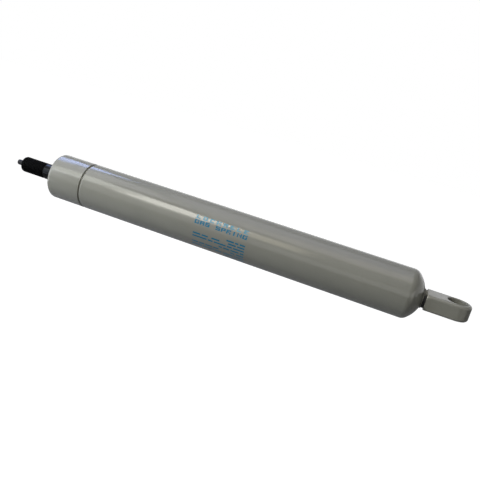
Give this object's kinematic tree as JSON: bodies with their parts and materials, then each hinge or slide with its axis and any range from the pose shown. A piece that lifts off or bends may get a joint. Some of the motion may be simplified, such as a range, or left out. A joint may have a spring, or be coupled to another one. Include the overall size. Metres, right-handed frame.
{
  "type": "locking gas strut",
  "caption": "Closed locking gas strut: grey pressure tube with a flat eye at its domed foot, and a hollow black rod whose central pin opens the piston valve.",
  "frame": {"origin": "centre of the eye's bore", "axes": "+X along the strut from the eye to the release pin, +Z along the axis of the eye's bore"},
  "size_m": [0.29, 0.028, 0.028],
  "materials": {
    "grey_paint": "semi-gloss grey paint with a faint orange peel",
    "eye_paint": "semi-gloss grey paint, a little darker",
    "black_rod": "black nitrided and polished steel",
    "dark_pin": "dark hardened steel",
    "bright_steel": "turned steel",
    "aluminium": "turned aluminium",
    "brass": "turned brass",
    "seal_rubber": "matte black nitrile rubber",
    "bearing_plastic": "bronze-filled PTFE"
  },
  "bodies": {
    "barrel": {"pressure_tube": "grey_paint", "foot_plug": "bright_steel", "foot_plug_o_ring": "seal_rubber", "eye": "eye_paint", "seal_backup_washer": "bright_steel", "rod_lip_seal": "seal_rubber", "seal_support_ring": "bright_steel", "rod_guide": "aluminium", "guide_liner": "bearing_plastic", "guide_o_ring": "seal_rubber", "wiper_ring": "seal_rubber"},
    "piston_ring_set": {"piston_ring": "bearing_plastic", "piston_ring_energiser": "seal_rubber"},
    "rod": {"piston_rod": "black_rod", "stop_washer": "bright_steel", "piston_body": "aluminium", "valve_spacer": "brass", "valve_seat_insert": "brass", "valve_seals": "seal_rubber", "piston_nut": "bright_steel"},
    "release_train": {"release_pin": "dark_pin", "valve_tappet": "bright_steel"},
    "separator": {"separator_piston": "aluminium", "separator_o_ring": "seal_rubber", "separator_guide_rings": "bearing_plastic"}
  },
  "joints": [
    {"name": "rod_slide", "type": "slide", "parent": "barrel", "child": "piston_ring_set", "axis": [1, 0, 0], "range_m": [0, 0.1]},
    {"name": "rod_swivel", "type": "hinge", "parent": "piston_ring_set", "child": "rod", "pos_m": [0.2, 0, 0], "axis": [1, 0, 0], "continuous": true},
    {"name": "release_press", "type": "slide", "parent": "rod", "child": "release_train", "axis": [-1, 0, 0], "range_m": [0, 0.0025], "stiffness_N_per_m": 1000, "springref_m": -0.01},
    {"name": "separator_slide", "type": "slide", "parent": "barrel", "child": "separator", "axis": [1, 0, 0], "range_m": [0, 0.016]}
  ],
  "couplings": [
    {"joint": "separator_slide", "follows": "rod_slide", "ratio": 0.16}
  ]
}
